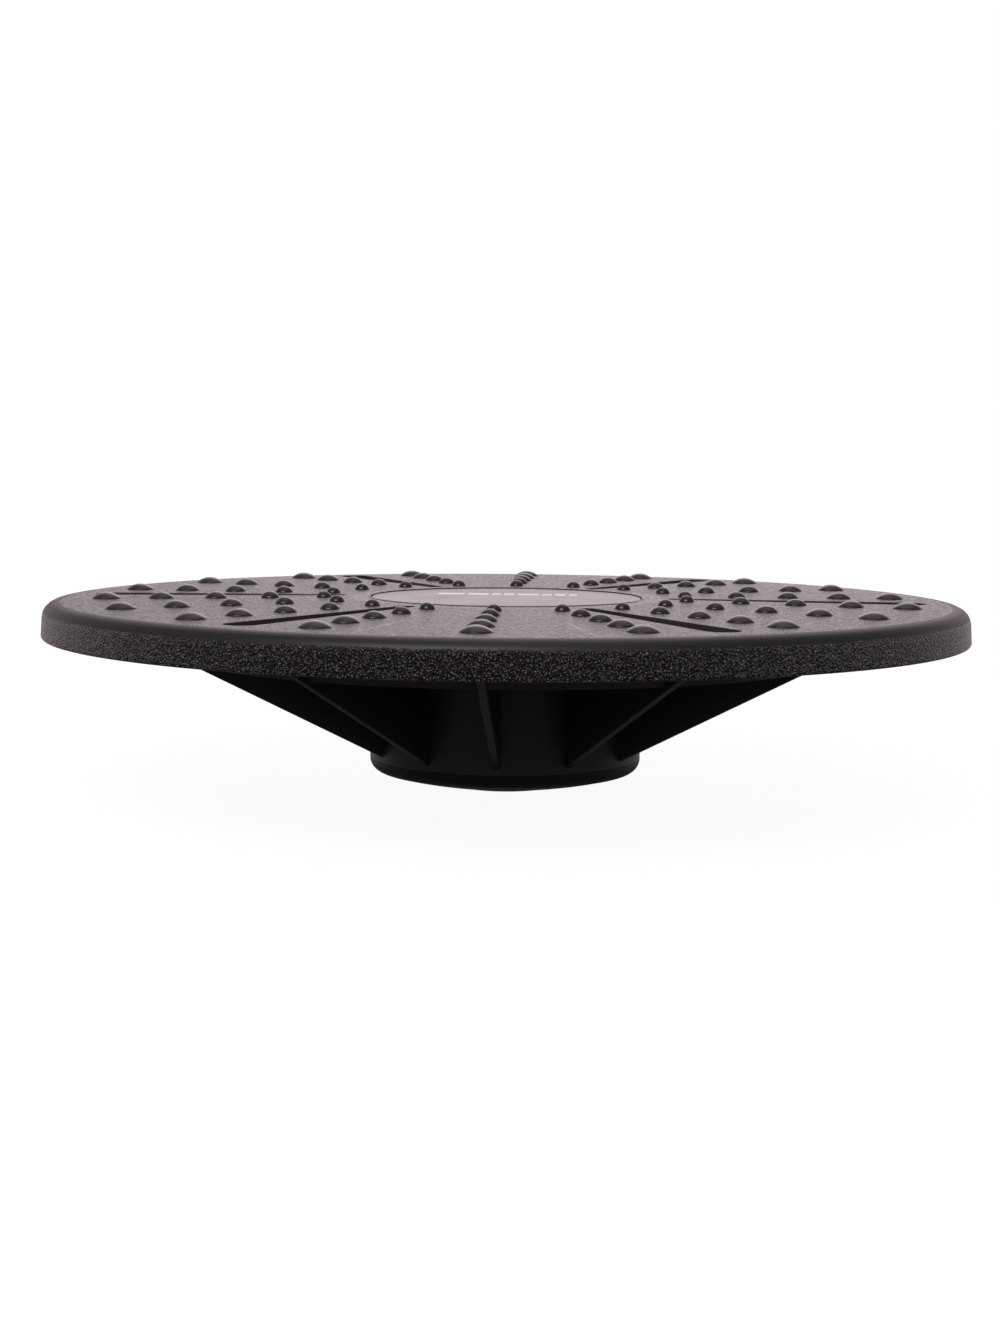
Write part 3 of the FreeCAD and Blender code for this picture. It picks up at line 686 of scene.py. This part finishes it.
def make_cap():
    builder = Builder()
    skirt_outer = MOUTH_RADIUS - 0.4 * MM
    skirt_inner = skirt_outer - 2 * MM
    skirt_bottom = bottom_of("centre_cap")
    profile = rounded_profile(
        [
            (0, CAP_TOP, 0),
            (LABEL_RADIUS - 0.5 * MM, CAP_TOP, 0),
            (CAP_RADIUS, CAP_TOP, 0.5 * MM),
            (CAP_RADIUS, SEAT_FLOOR, 0.2 * MM),
            (skirt_outer, SEAT_FLOOR, 0),
            (skirt_outer, skirt_bottom, 0.3 * MM),
            (skirt_inner, skirt_bottom, 0.3 * MM),
            (skirt_inner, SEAT_FLOOR + 0.05 * MM, 0),
            (0, SEAT_FLOOR + 0.05 * MM, 0),
        ],
        closed=False,
    )
    turn_profile(builder, profile[::-1], 240, closed=False)
    cap = builder.piece("cap_shell", [CAP_PLASTIC])
    return settle(cap, "centre_cap", slot="cap_plastic")


def make_label():
    builder = Builder()
    profile = rounded_profile(
        [
            (0, CAP_TOP, 0),
            (LABEL_RADIUS, CAP_TOP, 0),
            (LABEL_RADIUS, LABEL_TOP, 0.12 * MM),
            (0, LABEL_TOP, 0),
        ],
        closed=False,
    )
    turn_profile(builder, profile, 240, closed=False)
    label = builder.piece("label_disc", [LABEL_FILM])
    return settle(label, "label", slot="label_print")


# The print is a line of plain bars: where the line starts, how far back it runs and each bar's length.
PRINT_START = Vector((-32 * MM, 19 * MM))
PRINT_BARS = (12, 9.5, 4, 5, 9.5, 4.5, 5, 3.5)
BAR_HEIGHT = 10 * MM
BAR_GAP = 1.4 * MM


def make_print():
    builder = Builder()
    x = PRINT_START.x
    for length in PRINT_BARS:
        bar = capsule_loop(x, x + length * MM, PRINT_START.y, BAR_HEIGHT / 2)
        low = builder.loop([Vector((p.x, p.y, LABEL_TOP - 0.01 * MM)) for p in bar])
        high = builder.loop([Vector((p.x, p.y, LABEL_TOP + 0.03 * MM)) for p in bar])
        builder.bridge(low, high)
        builder.face(high)
        x += length * MM + BAR_GAP
    bars = builder.piece("label_bars", [INK])
    return settle(bars, slot="label_print")


def capsule_loop(left, right, middle, half, corner=0.5 * MM, steps=4):
    """A bar with rounded corners, anticlockwise."""
    points = []
    for x, y, start in (
        (right - corner, middle + half - corner, 0.0),
        (left + corner, middle + half - corner, pi / 2),
        (left + corner, middle - half + corner, pi),
        (right - corner, middle - half + corner, 3 * pi / 2),
    ):
        for step in range(steps + 1):
            turn = start + pi / 2 * step / steps
            points.append(Vector((x + corner * cos(turn), y + corner * sin(turn))))
    return points


# ---------------------------------------------------------------- hub, ribs, ring wall and rocker


def finish_cad_node(node, material):
    """A CAD node whose shape is right keeps it and gets the fuller material."""
    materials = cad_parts[node].data.materials
    if not materials:
        materials.append(material)
    for i in range(len(materials)):
        materials[i] = material


for cad_node in ["hub", "ring_wall", *(f"rib_{n:02d}" for n in range(1, RIB_COUNT + 1))]:
    finish_cad_node(cad_node, FRAME_PLASTIC)
finish_cad_node("rocker", ROCKER_PLASTIC)
finish_cad_node("grip_pad", PAD_RUBBER)
finish_cad_node("hub_screws", SCREW_STEEL)
finish_cad_node("rocker_screws", SCREW_STEEL)


# ---------------------------------------------------------------- floor, light and camera


FLOOR_REACH = 12.0
FLOOR_GLOW = 0.94


def make_floor():
    """A pale sheet that glows nearly white and leaves the board's own lighting alone."""
    mesh = bpy.data.meshes.new("floor")
    corners = [(x * FLOOR_REACH, y * FLOOR_REACH, 0) for x, y in ((-1, -1), (1, -1), (1, 1), (-1, 1))]
    mesh.from_pydata(corners, [], [(0, 1, 2, 3)])
    shader = Shader("floor_paper")
    tone = shader.blend(shader.noise(30, 2.0), (0.10, 0.10, 0.10, 1), (0.12, 0.12, 0.12, 1))
    mesh.materials.append(shader.finish(tone, 0.9, Specular_IOR_Level=0.1, Emission_Strength=FLOOR_GLOW))
    shader.surface.inputs["Emission Color"].default_value = (1, 1, 1, 1)
    shader.see_through_from_behind()
    floor = bpy.data.objects.new("floor", mesh)
    bpy.context.scene.collection.objects.link(floor)
    floor.visible_glossy = False
    floor.visible_diffuse = False
    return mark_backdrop(floor)


def add_area_light(name, place, target, size, power, size_y=None):
    data = bpy.data.lights.new(name, "AREA")
    data.shape = "RECTANGLE"
    data.size = size
    data.size_y = size_y or size
    data.energy = power
    data.color = ROOM_TINT[:3]
    light = bpy.data.objects.new(name, data)
    light.location = place
    light.rotation_euler = (Vector(target) - Vector(place)).to_track_quat("-Z", "Y").to_euler()
    bpy.context.scene.collection.objects.link(light)
    return light


# The room that the board reflects. SIDES and CEILING are radiances, and BELOW is the share of SIDES that is left
# well below the horizon. Behind the board are a wide low backdrop and, higher up in its middle, a brighter pool.
SIDES, CEILING, BELOW = 0.25, 0.31, 0.38
BACKDROP, POOL = 0.44, 1.40
BACKDROP_ENDS = (radians(84), radians(45))
POOL_ENDS = (radians(34), radians(4))
ROOM_TINT = (1.0, 0.90, 0.93, 1)
SWEEP_TINT = (1.0, 0.86, 0.88, 1)


def make_world():
    """White for the camera. For the board, a dim room with a low bright sweep behind it."""
    world = bpy.data.worlds.new("studio")
    world.use_nodes = True
    bpy.context.scene.world = world
    tree = world.node_tree
    tree.nodes.clear()
    place = tree.nodes.new("ShaderNodeTexCoord")
    split = tree.nodes.new("ShaderNodeSeparateXYZ")
    tree.links.new(place.outputs["Generated"], split.inputs[0])

    def ramp(value, low, high, to_low, to_high):
        made = tree.nodes.new("ShaderNodeMapRange")
        made.interpolation_type = "SMOOTHSTEP"
        tree.links.new(value, made.inputs["Value"])
        for name, value in zip(("From Min", "From Max", "To Min", "To Max"), (low, high, to_low, to_high)):
            made.inputs[name].default_value = value
        return made.outputs[0]

    def combine(operation, first, second=None):
        made = tree.nodes.new("ShaderNodeMath")
        made.operation = operation
        tree.links.new(first, made.inputs[0])
        if second:
            tree.links.new(second, made.inputs[1])
        return made.outputs[0]

    def light(colour, strength):
        made = tree.nodes.new("ShaderNodeBackground")
        made.inputs["Color"].default_value = colour
        if isinstance(strength, float):
            made.inputs["Strength"].default_value = strength
        else:
            tree.links.new(strength, made.inputs["Strength"])
        return made.outputs[0]

    up = split.outputs["Z"]
    bearing = combine("ABSOLUTE", combine("ARCTAN2", split.outputs["X"], split.outputs["Y"]))
    room = combine("MULTIPLY", ramp(up, 0.15, 0.75, SIDES, CEILING), ramp(up, -0.45, -0.05, BELOW, 1.0))
    backdrop = combine("MULTIPLY", ramp(up, 0.45, 0.15, 0.0, BACKDROP), ramp(up, -0.30, -0.05, 0.0, 1.0))
    backdrop = combine("MULTIPLY", backdrop, ramp(bearing, *BACKDROP_ENDS, 0.0, 1.0))
    pool = combine("MULTIPLY", ramp(up, 0.0, 0.35, 0.0, POOL), ramp(up, 0.85, 0.55, 0.0, 1.0))
    pool = combine("MULTIPLY", pool, ramp(bearing, *POOL_ENDS, 0.0, 1.0))
    sweep = combine("ADD", backdrop, pool)
    both = tree.nodes.new("ShaderNodeAddShader")
    tree.links.new(light(ROOM_TINT, room), both.inputs[0])
    tree.links.new(light(SWEEP_TINT, sweep), both.inputs[1])
    path = tree.nodes.new("ShaderNodeLightPath")
    mix = tree.nodes.new("ShaderNodeMixShader")
    tree.links.new(path.outputs["Is Camera Ray"], mix.inputs[0])
    tree.links.new(both.outputs[0], mix.inputs[1])
    tree.links.new(light((1, 1, 1, 1), 1.0), mix.inputs[2])
    out = tree.nodes.new("ShaderNodeOutputWorld")
    tree.links.new(mix.outputs[0], out.inputs["Surface"])


def make_lights():
    middle = (0, 0, DECK_TOP)
    add_area_light("front_softbox", (-0.30, -1.05, 1.10), middle, 1.0, 10.5, 0.6)
    add_area_light("overhead_softbox", (0.1, 0.2, 1.6), middle, 1.2, 2.0)


# The camera stands a little to the right of the -Y row of knobs and just above the deck.
CAMERA_AZIMUTH = radians(3.52)
CAMERA_DISTANCE = 0.8903
CAMERA_ABOVE_DECK = 61.6 * MM
CAMERA_PITCH = radians(5.94)
CAMERA_ROLL = radians(0.487)
CAMERA_YAW = radians(0.162)
CAMERA_LENS = 54.33


def make_camera():
    data = bpy.data.cameras.new("camera")
    data.lens = CAMERA_LENS
    data.sensor_width = 36
    camera = bpy.data.objects.new("camera", data)
    place = Vector(
        (
            CAMERA_DISTANCE * sin(CAMERA_AZIMUTH),
            -CAMERA_DISTANCE * cos(CAMERA_AZIMUTH),
            DECK_TOP + CAMERA_ABOVE_DECK,
        )
    )
    turn = (
        Matrix.Rotation(CAMERA_AZIMUTH + CAMERA_YAW, 4, "Z")
        @ Matrix.Rotation(pi / 2 - CAMERA_PITCH, 4, "X")
        @ Matrix.Rotation(CAMERA_ROLL, 4, "Z")
    )
    camera.matrix_world = Matrix.Translation(place) @ turn
    bpy.context.scene.collection.objects.link(camera)
    bpy.context.scene.camera = camera


make_camera()
make_world()
make_lights()
make_floor()
bpy.context.scene.view_settings.view_transform = "Standard"

make_deck()
for knob_size in range(KNOB_SIZES):
    make_knobs(knob_size)
make_cap()
make_label()
make_print()

bpy.context.view_layer.update()
